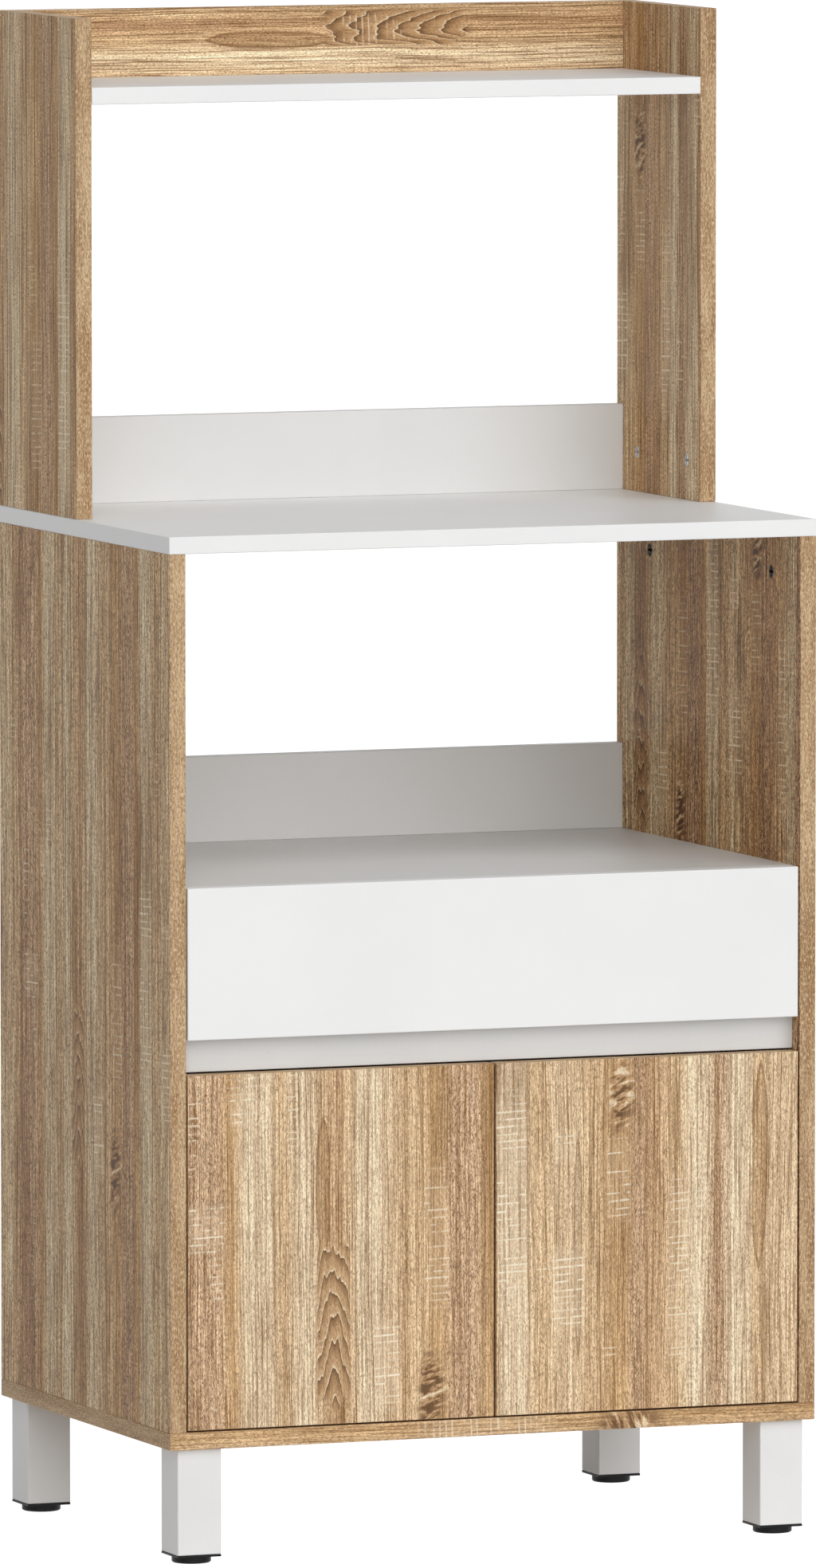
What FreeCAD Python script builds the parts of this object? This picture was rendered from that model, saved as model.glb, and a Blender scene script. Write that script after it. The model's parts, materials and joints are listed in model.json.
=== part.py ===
import FreeCAD, Part
import Sketcher
import os
from collections import defaultdict

# Microwave cabinet: oak-faced sides, base and doors, white worktop, shelves and drawer front.
# Millimetres, +Z up. The origin is on the floor under the middle, and the front faces -Y.

doc = FreeCAD.newDocument("microwave_cabinet")
sheet = doc.addObject("Spreadsheet::Sheet", "dims")

sizes = {
    # carcass
    "width": 600,
    "depth": 420,
    "board": 15,
    "underClearance": 100,      # floor to the underside of the bottom panel
    "lowerHeight": 756,
    "upperHeight": 434,
    "upperDepth": 193,
    "nicheHeight": 287,
    "railHeight": 76,
    "crownDrop": 60,            # tops of the upper sides above the top shelf
    # fronts
    "frontHeight": 131,
    "frontGap": 1.5,
    "meetGap": 2,
    "setBack": 1,               # air between a front and the boards behind it
    "recessHeight": 30,
    "recessLap": 9,             # recess rail hidden behind the drawer front
    "recessGap": 1,             # recess rail above the door tops
    # lower back
    "backSheet": 3,
    "rebate": 8,
    "sheetGap": 0.5,
    "nailRadius": 0.7,
    "nailHead": 1.5,
    "nailHeadHigh": 0.6,
    "nailLong": 18,
    "nailInset": 90,
    # cam fittings and dowels
    "camReach": 35,
    "camRadius": 5.9,
    "camDepth": 12,
    "camSink": 0.3,
    "boltRadius": 3,
    "boltNeck": 2,
    "boltHeadLong": 3,
    "boltGrip": 10,
    "dowelRadius": 4,
    "dowelLong": 30,
    "dowelGrip": 10,
    "holePlay": 0.1,
    "endPlay": 0.3,
    "upperCamBack": 46,
    "upperCamFront": 33,
    "lowerCamBack": 77,
    "lowerCamFront": 66.5,
    "shelfCamInset": 60,
    "crownCamInset": 42,
    "railCamRise": 22,
    "railDowelRise": 46,
    "recessCamRise": 27,
    "recessDowelRise": 11,
    # screws
    "screwRadius": 1.9,
    "screwHead": 3.6,
    "screwHeadHigh": 1.6,
    "screwLong": 12,
    "screwTip": 2,
    "crossWide": 0.8,
    "crossLong": 4,
    "boxScrewLong": 38,
    # legs and levelling feet
    "legSize": 40,
    "legWall": 1.5,
    "legPlate": 3,
    "legSideInset": 9,
    "legFrontInset": 6,
    "legBackInset": 3,
    "legScrewOffset": 11,
    "capRim": 2,
    "capPlug": 18,
    "capPlay": 0.2,
    "padRadius": 17,
    "padHeight": 6,
    "padEdge": 1,
    "spindleRadius": 4,
    "spindleLong": 30,
    "turnPlay": 0.05,
    # drawer
    "slideSpace": 12.5,
    "drawerBehind": 55,         # air behind the drawer, up to the back of the cabinet
    "drawerWall": 85,
    "drawerLift": 17.2,         # drawer sides above the lower edge of the drawer front
    "drawerFloorRise": 9,
    "groove": 6,
    "drawerCamRise": 28,
    "drawerCamStep": 34,
    "drawerScrewRise": 36,
    "drawerScrewStep": 34,
    # drawer slides
    "slideSheet": 1.2,
    "slideHigh": 34,
    "slideReach": 10,
    "slideStart": 4,            # slide ends behind the back of the drawer front
    "slideDrop": 4.2,           # cabinet slide below the drawer sides
    "ledgeReach": 13,
    "ledgeRise": 21.8,          # running flange above the drawer sides' lower edge
    "ledgeWing": 6.8,
    "rollerRadius": 11,
    "rollerWide": 7.6,
    "rollerEdge": 1,
    "rollerGap": 0.3,
    "rollerSideGap": 1,
    "rollerSetBack": 17,
    "axleRadius": 2,
    "axleHead": 3,
    "axleHeadHigh": 0.8,
    "slideScrewDrop": 5.2,
    "slideScrewInset": 40,
    # door hinges
    "hingeShare": 0.2,          # hinge middle from the door's ends, as a share of its height
    "hingeEdge": 25,            # pin from the door's outer edge
    "pinRadius": 1.5,
    "pinShort": 0.6,
    "cupRadius": 17.5,
    "cupDepth": 12,
    "cupEdge": 5,
    "cupPlay": 0.2,
    "cupWall": 0.8,
    "cupLip": 2.5,
    "wingWide": 20,
    "wingLong": 66,
    "wingThick": 1.2,
    "wingScrew": 26,
    "eyeRadius": 3.2,
    "armSheet": 3,
    "armHigh": 12,
    "armBow": 22,
    "armBack": 38,
    "armLong": 57,
    "armBlock": 10,
    "armScrew": 42,
    "plateThick": 3,
    "plateHigh": 16,
    "plateWing": 48,
    "plateWingLong": 18,
    "plateScrew": 16,
    "plateScrewBack": 29,
    # how far a cutter passes the face that it opens
    "cutPast": 1,
}
for row, (name, value) in enumerate(sizes.items(), start=1):
    sheet.set(f"A{row}", name)
    sheet.set(f"B{row}", str(value))
    sheet.setAlias(f"B{row}", name)
doc.recompute()

right = FreeCAD.Vector(1, 0, 0)
left = FreeCAD.Vector(-1, 0, 0)
rear = FreeCAD.Vector(0, 1, 0)
ahead = FreeCAD.Vector(0, -1, 0)
up = FreeCAD.Vector(0, 0, 1)
down = FreeCAD.Vector(0, 0, -1)
sides = {"left": -1, "right": 1}
overshoot = "dims.cutPast"

# Planes of the cabinet, as expressions of the sheet's sizes.
half = "(dims.width / 2)"
inner = "(dims.width / 2 - dims.board)"
sideMid = "(dims.width / 2 - dims.board / 2)"
front = "(-dims.depth / 2)"
back = "(dims.depth / 2)"
frontBack = f"({front} + dims.board)"
setIn = f"({frontBack} + dims.setBack)"
upperFront = f"({back} - dims.upperDepth)"
railFace = f"({back} - dims.board)"
railMid = f"({back} - dims.board / 2)"
floorTop = "(dims.underClearance + dims.board)"
worktopUnder = f"({floorTop} + dims.lowerHeight)"
worktopTop = f"({worktopUnder} + dims.board)"
crown = f"({worktopTop} + dims.upperHeight)"
crownShelf = f"({crown} - dims.crownDrop)"
shelfTop = f"({worktopUnder} - dims.nicheHeight)"
shelfUnder = f"({shelfTop} - dims.board)"
drawerUnder = f"({shelfTop} - dims.frontHeight)"
doorTop = f"({drawerUnder} - dims.recessHeight)"
doorUnder = f"({floorTop} + dims.frontGap)"
recessLow = f"({doorTop} + dims.recessGap)"
recessHigh = f"({drawerUnder} + dims.recessLap)"


def place(piece, x, y, z, turn=None):
    if turn is not None:
        piece.Placement = FreeCAD.Placement(FreeCAD.Vector(), turn)
    piece.setExpression("Placement.Base.x", x)
    piece.setExpression("Placement.Base.y", y)
    piece.setExpression("Placement.Base.z", z)
    return piece


def block(xs, ys, zs):
    box = doc.addObject("Part::Box", "block")
    for edge, (low, high) in zip(("Length", "Width", "Height"), (xs, ys, zs)):
        box.setExpression(edge, f"({high}) - ({low})")
    return place(box, xs[0], ys[0], zs[0])


def rod(radius, long, spot, along):
    piece = doc.addObject("Part::Cylinder", "rod")
    piece.setExpression("Radius", radius)
    piece.setExpression("Height", long)
    return place(piece, *spot, FreeCAD.Rotation(up, along))


def join(pieces):
    fused = doc.addObject("Part::MultiFuse", "joined")
    fused.Shapes = pieces
    return fused


def carve(base, tools):
    if not tools:
        return base
    cut = doc.addObject("Part::Cut", "carved")
    cut.Base = base
    cut.Tool = join(tools) if len(tools) > 1 else tools[0]
    return cut


def group(pieces):
    together = doc.addObject("Part::Compound", "group")
    together.Links = pieces
    return together


def mirrored(piece):
    flipped = doc.addObject("Part::Mirroring", "mirrored")
    flipped.Source = piece
    flipped.Normal = right
    return flipped


def copy_of(master, spot, turn=None):
    copy = doc.addObject("App::Link", "copy")
    copy.LinkedObject = master
    copy.LinkTransform = True
    return place(copy, *spot, turn)


def origin_plane(body, role):
    return next(plane for plane in body.Origin.OriginFeatures if plane.Role == role)


def outline(body, role, points):
    # Closed outline on one of the body's own planes, each corner held by two sizes.
    sketch = body.newObject("Sketcher::SketchObject", "Outline")
    sketch.AttachmentSupport = [(origin_plane(body, role), "")]
    sketch.MapMode = "FlatFace"
    corners = [[float(sheet.evalExpression(text)) for text in point] for point in points]
    count = len(points)
    for index in range(count):
        start = FreeCAD.Vector(*corners[index], 0)
        end = FreeCAD.Vector(*corners[(index + 1) % count], 0)
        sketch.addGeometry(Part.LineSegment(start, end), False)
    for index in range(count):
        sketch.addConstraint(Sketcher.Constraint("Coincident", index, 2, (index + 1) % count, 1))
    for index, point in enumerate(points):
        for kind, text, value in zip(("DistanceX", "DistanceY"), point, corners[index]):
            held = sketch.addConstraint(Sketcher.Constraint(kind, -1, 1, index, 1, value))
            sketch.setExpression(f"Constraints[{held}]", text)
    return sketch


def turned(label, points, axis):
    # Solid of revolution: "V_Axis" turns about Z, "H_Axis" about X.
    body = doc.addObject("PartDesign::Body", label)
    sketch = outline(body, "XZ_Plane", points)
    turn = body.newObject("PartDesign::Revolution", "Turn")
    turn.Profile = sketch
    turn.ReferenceAxis = (sketch, [axis])
    turn.Angle = 360
    return body


def square_points(size):
    reach = f"({size}) / 2"
    return [(f"-{reach}", f"-{reach}"), (reach, f"-{reach}"), (reach, reach), (f"-{reach}", reach)]


def span(sign, near, far):
    # X range on one side of the middle, given as distances from the middle.
    return (near, far) if sign > 0 else (f"-({far})", f"-({near})")


def signed(sign, text):
    return text if sign > 0 else f"-({text})"


def both(text):
    return (f"-({text})", text)


blanks = {}                     # board before drilling, by node name
cuts = defaultdict(list)        # cutters of each board
nodes = {}                      # finished pieces, by node name

# Boards of the carcass
blanks["bottom_panel"] = block(both(half), (front, back), ("dims.underClearance", floorTop))
blanks["worktop"] = block(both(half), (front, back), (worktopUnder, worktopTop))
blanks["niche_shelf"] = block(both(inner), (setIn, back), (shelfUnder, shelfTop))
blanks["niche_back_rail"] = block(
    both(inner), (railFace, back), (shelfTop, f"{shelfTop} + dims.railHeight"))
blanks["recess_rail"] = block(both(inner), (setIn, f"{setIn} + dims.board"), (recessLow, recessHigh))
blanks["upper_back_rail"] = block(
    both(inner), (railFace, back), (worktopTop, f"{worktopTop} + dims.railHeight"))
blanks["top_shelf"] = block(both(inner), (upperFront, back), (f"{crownShelf} - dims.board", crownShelf))
blanks["top_back_rail"] = block(both(inner), (railFace, back), (crownShelf, crown))
for side, sign in sides.items():
    wall = span(sign, inner, half)
    blanks[f"lower_side_{side}"] = block(wall, (front, back), (floorTop, worktopUnder))
    blanks[f"upper_side_{side}"] = block(wall, (upperFront, back), (worktopTop, crown))

# Thin back of the drawer and door space, let into rebates flush with the back
sheetFace = f"({back} - dims.backSheet)"
rebateEdge = f"({inner} + dims.rebate)"
rebateLow = f"({floorTop} - dims.rebate)"
rebateHigh = f"({shelfUnder} + dims.rebate)"
rebateDepth = (sheetFace, f"{back} + {overshoot}")
blanks["back_panel"] = block(
    both(f"{rebateEdge} - dims.sheetGap"),
    (sheetFace, back),
    (f"{rebateLow} + dims.sheetGap", f"{rebateHigh} - dims.sheetGap"),
)
cuts["bottom_panel"].append(block(both(rebateEdge), rebateDepth, (rebateLow, f"{floorTop} + {overshoot}")))
cuts["niche_shelf"].append(block(
    both(f"{inner} + {overshoot}"), rebateDepth, (f"{shelfUnder} - {overshoot}", rebateHigh)))
for side, sign in sides.items():
    cuts[f"lower_side_{side}"].append(block(
        span(sign, f"{inner} - {overshoot}", rebateEdge), rebateDepth,
        (f"{floorTop} - {overshoot}", rebateHigh)))

nail = turned("nail", [
    ("0", "0"),
    ("dims.nailHead", "0"),
    ("dims.nailHead", "dims.nailHeadHigh"),
    ("dims.nailRadius", "dims.nailHeadHigh"),
    ("dims.nailRadius", "dims.nailLong"),
    ("0", "dims.nailLong"),
], "V_Axis")
nailSeat = turned("nail_seat", [
    ("0", f"-{overshoot}"),
    ("dims.nailHead + dims.holePlay", f"-{overshoot}"),
    ("dims.nailHead + dims.holePlay", "dims.nailHeadHigh"),
    ("dims.nailRadius + dims.holePlay", "dims.nailHeadHigh"),
    ("dims.nailRadius + dims.holePlay", "dims.nailLong + dims.endPlay"),
    ("0", "dims.nailLong + dims.endPlay"),
], "V_Axis")
nails = []


def drive_nail(board, x, z):
    spot = (x, back, z)
    turn = FreeCAD.Rotation(up, ahead)
    nails.append(copy_of(nail, spot, turn))
    for piece in ("back_panel", board):
        cuts[piece].append(copy_of(nailSeat, spot, turn))


nailEdge = f"({inner} + dims.rebate / 2)"
for x in (f"-{inner} + dims.nailInset", "0", f"{inner} - dims.nailInset"):
    drive_nail("bottom_panel", x, f"{floorTop} - dims.rebate / 2")
    drive_nail("niche_shelf", x, f"{shelfUnder} + dims.rebate / 2")
sheetMid = f"({floorTop} + {shelfUnder}) / 2"
for side, sign in sides.items():
    for z in (f"{floorTop} + dims.nailInset", sheetMid, f"{shelfUnder} - dims.nailInset"):
        drive_nail(f"lower_side_{side}", signed(sign, nailEdge), z)

# Cam fitting: the origin is in the joint, +X runs into the edge board, +Z faces the cam's open side
camFloor = "dims.board / 2 - dims.camDepth"
headStart = "dims.camReach - dims.boltHeadLong / 2"
camBore = "dims.camRadius + dims.holePlay"
boltBore = "dims.boltRadius + dims.holePlay"
bolt = turned("cam_bolt", [
    ("-dims.boltGrip", "0"),
    ("-dims.boltGrip", "dims.boltRadius"),
    ("dims.camReach - dims.camRadius", "dims.boltRadius"),
    ("dims.camReach - dims.camRadius", "dims.boltNeck"),
    (headStart, "dims.boltNeck"),
    (headStart, "dims.boltRadius"),
    ("dims.camReach + dims.boltHeadLong / 2", "dims.boltRadius"),
    ("dims.camReach + dims.boltHeadLong / 2", "0"),
], "H_Axis")
camTop = f"({camFloor} + dims.camDepth - dims.camSink)"
camBody = rod("dims.camRadius", "dims.camDepth - dims.camSink", ("dims.camReach", "0", camFloor), up)
camCatch = rod(
    boltBore, "dims.camRadius + dims.boltHeadLong / 2 + dims.endPlay + " + overshoot,
    (f"dims.camReach - dims.camRadius - {overshoot}", "0", "0"), right)
crossDepth = (f"{camTop} - dims.crossWide", f"{camTop} + {overshoot}")
crossAlong = ("dims.camReach - dims.crossLong", "dims.camReach + dims.crossLong")
crossOver = ("dims.camReach - dims.crossWide", "dims.camReach + dims.crossWide")
camCross = [
    block(crossAlong, both("dims.crossWide"), crossDepth),
    block(crossOver, both("dims.crossLong"), crossDepth),
]
cam = carve(camBody, [camCatch] + camCross)
camSeat = join([
    rod(camBore, f"dims.camDepth + {overshoot}", ("dims.camReach", "0", camFloor), up),
    rod(boltBore, f"dims.camReach + {overshoot}", (f"-{overshoot}", "0", "0"), right),
])
boltSeat = rod(
    boltBore, f"dims.boltGrip + dims.endPlay + {overshoot}",
    ("-dims.boltGrip - dims.endPlay", "0", "0"), right)
dowel = rod("dims.dowelRadius", "dims.dowelLong", ("-dims.dowelGrip", "0", "0"), right)
dowelBore = "dims.dowelRadius + dims.holePlay"
dowelSeat = rod(
    dowelBore, "dims.dowelLong + 2 * dims.endPlay", ("-dims.dowelGrip - dims.endPlay", "0", "0"), right)
camsBright, camsDark, camBolts, dowels = [], [], [], []
drawerCams, drawerBolts = [], []


def fit_cam(edgeBoard, faceBoard, spot, into, show, cams, bolts):
    turn = FreeCAD.Rotation(into, show.cross(into), show, "XZY")
    cams.append(copy_of(cam, spot, turn))
    bolts.append(copy_of(bolt, spot, turn))
    cuts[edgeBoard].append(copy_of(camSeat, spot, turn))
    cuts[faceBoard].append(copy_of(boltSeat, spot, turn))


def fit_dowel(edgeBoard, faceBoard, spot, into):
    turn = FreeCAD.Rotation(right, into)
    dowels.append(copy_of(dowel, spot, turn))
    for board in (edgeBoard, faceBoard):
        cuts[board].append(copy_of(dowelSeat, spot, turn))


lowerSpots = (f"{front} + dims.lowerCamFront", f"{back} - dims.lowerCamBack")
upperSpots = (f"{upperFront} + dims.upperCamFront", f"{back} - dims.upperCamBack")
shelfSpots = (f"{setIn} + dims.shelfCamInset", f"{back} - dims.shelfCamInset")
crownSpots = (f"{upperFront} + dims.crownCamInset", f"{back} - dims.crownCamInset")
shelfMid = f"({shelfTop} - dims.board / 2)"
crownMid = f"({crownShelf} - dims.board / 2)"
recessMid = f"({setIn} + dims.board / 2)"
for side, sign in sides.items():
    lower, upper = f"lower_side_{side}", f"upper_side_{side}"
    inward = left if sign > 0 else right
    wallX, faceX = signed(sign, sideMid), signed(sign, inner)
    for y in lowerSpots:
        fit_cam(lower, "worktop", (wallX, y, worktopUnder), down, inward, camsDark, camBolts)
        fit_cam(lower, "bottom_panel", (wallX, y, floorTop), up, inward, camsBright, camBolts)
    for y in upperSpots:
        fit_cam(upper, "worktop", (wallX, y, worktopTop), up, inward, camsBright, camBolts)
    for y in shelfSpots:
        fit_cam("niche_shelf", lower, (faceX, y, shelfMid), inward, down, camsBright, camBolts)
    for y in crownSpots:
        fit_cam("top_shelf", upper, (faceX, y, crownMid), inward, down, camsBright, camBolts)
    for rail, wall, foot in (
        ("niche_back_rail", lower, shelfTop),
        ("upper_back_rail", upper, worktopTop),
        ("top_back_rail", upper, crownShelf),
    ):
        spot = (faceX, railMid, f"{foot} + dims.railCamRise")
        fit_cam(rail, wall, spot, inward, rear, camsBright, camBolts)
        fit_dowel(rail, wall, (faceX, railMid, f"{foot} + dims.railDowelRise"), inward)
    spot = (faceX, recessMid, f"{recessLow} + dims.recessCamRise")
    fit_cam("recess_rail", lower, spot, inward, rear, camsBright, camBolts)
    fit_dowel("recess_rail", lower, (faceX, recessMid, f"{recessLow} + dims.recessDowelRise"), inward)
    lowerMiddle = f"({lowerSpots[0]} + {lowerSpots[1]}) / 2"
    fit_dowel(lower, "worktop", (wallX, lowerMiddle, worktopUnder), down)
    fit_dowel(lower, "bottom_panel", (wallX, lowerMiddle, floorTop), up)
    fit_dowel(upper, "worktop", (wallX, f"({upperSpots[0]} + {upperSpots[1]}) / 2", worktopTop), up)
    fit_dowel("niche_shelf", lower, (faceX, f"({shelfSpots[0]} + {shelfSpots[1]}) / 2", shelfMid), inward)
    fit_dowel("top_shelf", upper, (faceX, f"({crownSpots[0]} + {crownSpots[1]}) / 2", crownMid), inward)


# Pan-head screw: the head's seat is at the origin and the shaft runs along +Z
def screw_of(label, long):
    stem = turned(label, [
        ("0", "-dims.screwHeadHigh"),
        ("dims.screwHead - dims.screwHeadHigh / 2", "-dims.screwHeadHigh"),
        ("dims.screwHead", "-dims.screwHeadHigh / 2"),
        ("dims.screwHead", "0"),
        ("dims.screwRadius", "0"),
        ("dims.screwRadius", f"{long} - dims.screwTip"),
        ("0", long),
    ], "V_Axis")
    slot = (f"-dims.screwHeadHigh - {overshoot}", "-dims.screwHeadHigh / 2")
    arm, width = both("dims.crossLong / 2"), both("dims.crossWide / 2")
    return carve(stem, [block(arm, width, slot), block(width, arm, slot)])


def screw_bore(long):
    return rod(
        "dims.screwRadius + dims.holePlay", f"{long} + dims.endPlay + {overshoot}",
        ("0", "0", f"-{overshoot}"), up)


screw = screw_of("screw", "dims.screwLong")
screwBore = screw_bore("dims.screwLong")
boxScrew = screw_of("box_screw", "dims.boxScrewLong")
boxScrewBore = screw_bore("dims.boxScrewLong")


def fasten(screws, spot, along, boards, master=screw, bore=screwBore):
    turn = FreeCAD.Rotation(up, along)
    screws.append(copy_of(master, spot, turn))
    for board in boards:
        cuts[board].append(copy_of(bore, spot, turn))


# Square legs with a welded top plate, black end caps and levelling feet
legBase = "(dims.padHeight + dims.capRim)"
legTube = f"(dims.underClearance - {legBase})"
legBody = doc.addObject("PartDesign::Body", "leg")
legPad = legBody.newObject("PartDesign::Pad", "Tube")
legPad.Profile = outline(legBody, "XY_Plane", square_points("dims.legSize"))
legPad.setExpression("Length", legTube)
doc.recompute()
legPocket = legBody.newObject("PartDesign::Pocket", "Hollow")
legPocket.Profile = outline(legBody, "XY_Plane", square_points("dims.legSize - 2 * dims.legWall"))
legPocket.setExpression("Length", f"{legTube} - dims.legPlate")
legPocket.Reversed = True
legBody.Tip = legPocket
doc.recompute()
if legBody.Shape.Volume > 0.5 * legPad.Shape.Volume:
    raise RuntimeError("the leg is not hollow")
screwCorners = [(x, y) for x in both("dims.legScrewOffset") for y in both("dims.legScrewOffset")]
plateSeat = f"{legTube} - dims.legPlate"
leg = carve(legBody, [copy_of(screwBore, (x, y, plateSeat)) for x, y in screwCorners])
plugReach = "dims.legSize / 2 - dims.legWall - dims.capPlay"
legCap = carve(
    join([
        block(both("dims.legSize / 2"), both("dims.legSize / 2"), ("dims.padHeight", legBase)),
        block(both(plugReach), both(plugReach), (legBase, f"{legBase} + dims.capPlug")),
    ]),
    [rod("dims.spindleRadius + dims.turnPlay", f"dims.capRim + dims.capPlug + 2 * {overshoot}",
         ("0", "0", f"dims.padHeight - {overshoot}"), up)],
)
foot = turned("foot", [
    ("0", "0"),
    ("dims.padRadius - dims.padEdge", "0"),
    ("dims.padRadius", "dims.padEdge"),
    ("dims.padRadius", "dims.padHeight"),
    ("dims.spindleRadius", "dims.padHeight"),
    ("dims.spindleRadius", "dims.padHeight + dims.spindleLong"),
    ("0", "dims.padHeight + dims.spindleLong"),
], "V_Axis")
legX = f"({half} - dims.legSideInset - dims.legSize / 2)"
legRows = {
    "front": f"({front} + dims.legFrontInset + dims.legSize / 2)",
    "rear": f"({back} - dims.legBackInset - dims.legSize / 2)",
}
legScrews, legCaps = [], []
for row, y in legRows.items():
    for side, sign in sides.items():
        x = signed(sign, legX)
        nodes[f"leg_{row}_{side}"] = copy_of(leg, (x, y, legBase))
        nodes[f"foot_{row}_{side}"] = copy_of(foot, (x, y, "0"))
        legCaps.append(copy_of(legCap, (x, y, "0")))
        for dx, dy in screwCorners:
            spot = (f"{x} + ({dx})", f"{y} + ({dy})", "dims.underClearance - dims.legPlate")
            fasten(legScrews, spot, up, ["bottom_panel"])

# Drawer box behind the white front, on grooves for its thin floor
boxReach = f"({inner} - dims.slideSpace)"
boxInner = f"({boxReach} - dims.board)"
boxMid = f"({boxReach} - dims.board / 2)"
boxLow = f"({drawerUnder} + dims.drawerLift)"
boxHigh = f"({boxLow} + dims.drawerWall)"
boxBack = f"({back} - dims.drawerBehind)"
boxFloor = f"({boxLow} + dims.drawerFloorRise)"
boxFloorTop = f"({boxFloor} + dims.backSheet)"
grooveHigh = (boxFloor, f"{boxFloorTop} + dims.holePlay")
grooveEdge = f"({boxInner} + dims.groove)"
frontReach = f"({inner} - dims.frontGap)"
blanks["drawer_front"] = block(both(frontReach), (front, frontBack), (drawerUnder, shelfTop))
blanks["drawer_back"] = block(
    both(boxInner), (f"{boxBack} - dims.board", boxBack), (boxFloorTop, boxHigh))
blanks["drawer_bottom"] = block(
    both(f"{grooveEdge} - dims.sheetGap"),
    (f"{frontBack} - dims.groove + dims.sheetGap", boxBack),
    (boxFloor, boxFloorTop),
)
cuts["drawer_front"].append(block(
    both(grooveEdge), (f"{frontBack} - dims.groove", f"{frontBack} + {overshoot}"), grooveHigh))
boxScrews = []
for side, sign in sides.items():
    label = f"drawer_side_{side}"
    inward = left if sign > 0 else right
    blanks[label] = block(span(sign, boxInner, boxReach), (frontBack, boxBack), (boxLow, boxHigh))
    cuts[label].append(block(
        span(sign, f"{boxInner} - {overshoot}", grooveEdge),
        (f"{frontBack} - {overshoot}", f"{boxBack} + {overshoot}"), grooveHigh))
    for step in ("0", "dims.drawerCamStep"):
        spot = (signed(sign, boxMid), frontBack, f"{boxLow} + dims.drawerCamRise + {step}")
        fit_cam(label, "drawer_front", spot, rear, inward, drawerCams, drawerBolts)
    for step in ("0", "dims.drawerScrewStep"):
        spot = (
            signed(sign, boxReach),
            f"{boxBack} - dims.board / 2",
            f"{boxLow} + dims.drawerScrewRise + {step}",
        )
        fasten(boxScrews, spot, inward, [label, "drawer_back"], boxScrew, boxScrewBore)

# Roller slides: a channel on each lower side, an angle under each drawer side
slideFront = f"({frontBack} + dims.slideStart)"
slideBack = f"({boxBack} + dims.slideStart)"
channelLow = f"({boxLow} - dims.slideDrop)"
channelHigh = f"({channelLow} + dims.slideHigh)"
channelWeb = f"({inner} - dims.slideSheet)"
channelEdge = f"({inner} - dims.slideReach)"
angleWeb = f"({boxReach} + dims.slideSheet)"
angleLow = f"({boxLow} - dims.slideSheet)"
ledge = f"({boxLow} + dims.ledgeRise)"
frontAxleY = f"({slideFront} + dims.rollerSetBack)"
frontAxleZ = f"({ledge} - dims.rollerGap - dims.rollerRadius)"
rearAxleY = f"({boxBack} - dims.rollerSetBack)"
rearAxleZ = f"({channelLow} + dims.slideSheet + dims.rollerGap + dims.rollerRadius)"
rollerReach = "dims.rollerWide / 2"
roller = turned("roller", [
    (f"-{rollerReach}", "dims.axleRadius + dims.turnPlay"),
    (rollerReach, "dims.axleRadius + dims.turnPlay"),
    (rollerReach, "dims.rollerRadius - dims.rollerEdge"),
    (f"{rollerReach} - dims.rollerEdge", "dims.rollerRadius"),
    (f"-{rollerReach} + dims.rollerEdge", "dims.rollerRadius"),
    (f"-{rollerReach}", "dims.rollerRadius - dims.rollerEdge"),
], "H_Axis")
axleLong = "(dims.rollerWide + dims.rollerSideGap + dims.holePlay + dims.axleHeadHigh)"
channelScrews, angleScrews = [], []
for side, sign in sides.items():
    inward = left if sign > 0 else right
    outward = right if sign > 0 else left
    wall, boxSide = f"lower_side_{side}", f"drawer_side_{side}"
    length = (slideFront, slideBack)
    wingX = span(sign, channelEdge, channelWeb)
    channel = join([
        block(span(sign, channelWeb, inner), length, (channelLow, channelHigh)),
        block(wingX, length, (channelLow, f"{channelLow} + dims.slideSheet")),
        block(wingX, length, (f"{channelHigh} - dims.slideSheet", channelHigh)),
        rod("dims.axleRadius", axleLong, (signed(sign, channelWeb), frontAxleY, frontAxleZ), inward),
        rod("dims.axleHead", "dims.axleHeadHigh",
            (signed(sign, f"{channelWeb} - {axleLong} + dims.axleHeadHigh"), frontAxleY, frontAxleZ), inward),
    ])
    blanks[f"slide_channel_{side}"] = channel
    for y in (f"{slideFront} + dims.slideScrewInset", f"({slideFront} + {slideBack}) / 2",
              f"{slideBack} - dims.slideScrewInset"):
        spot = (signed(sign, channelWeb), y, f"{channelHigh} - dims.slideScrewDrop")
        fasten(channelScrews, spot, outward, [f"slide_channel_{side}", wall])
    length = (slideFront, boxBack)
    ledgeHigh = (ledge, f"{ledge} + dims.slideSheet")
    angle = join([
        block(span(sign, boxReach, angleWeb), length, (angleLow, ledgeHigh[1])),
        block(span(sign, f"{boxReach} - dims.ledgeReach", boxReach), length, (angleLow, boxLow)),
        block(span(sign, angleWeb, f"{angleWeb} + dims.ledgeWing"), length, ledgeHigh),
        rod("dims.axleRadius", axleLong, (signed(sign, angleWeb), rearAxleY, rearAxleZ), outward),
        rod("dims.axleHead", "dims.axleHeadHigh",
            (signed(sign, f"{angleWeb} + {axleLong} - dims.axleHeadHigh"), rearAxleY, rearAxleZ), outward),
    ])
    blanks[f"slide_angle_{side}"] = angle
    for y in (f"{slideFront} + dims.slideScrewInset", f"({slideFront} + {boxBack}) / 2",
              f"{boxBack} - 2 * dims.slideScrewInset"):
        spot = (signed(sign, f"{boxReach} - dims.ledgeReach / 2 + dims.slideSheet"), y, angleLow)
        fasten(angleScrews, spot, up, [f"slide_angle_{side}", boxSide])
    rollerOut = f"({channelWeb} - dims.rollerSideGap - {rollerReach})"
    nodes[f"roller_front_{side}"] = copy_of(roller, (signed(sign, rollerOut), frontAxleY, frontAxleZ))
    rollerIn = f"({angleWeb} + dims.rollerSideGap + {rollerReach})"
    nodes[f"roller_rear_{side}"] = copy_of(roller, (signed(sign, rollerIn), rearAxleY, rearAxleZ))

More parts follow.
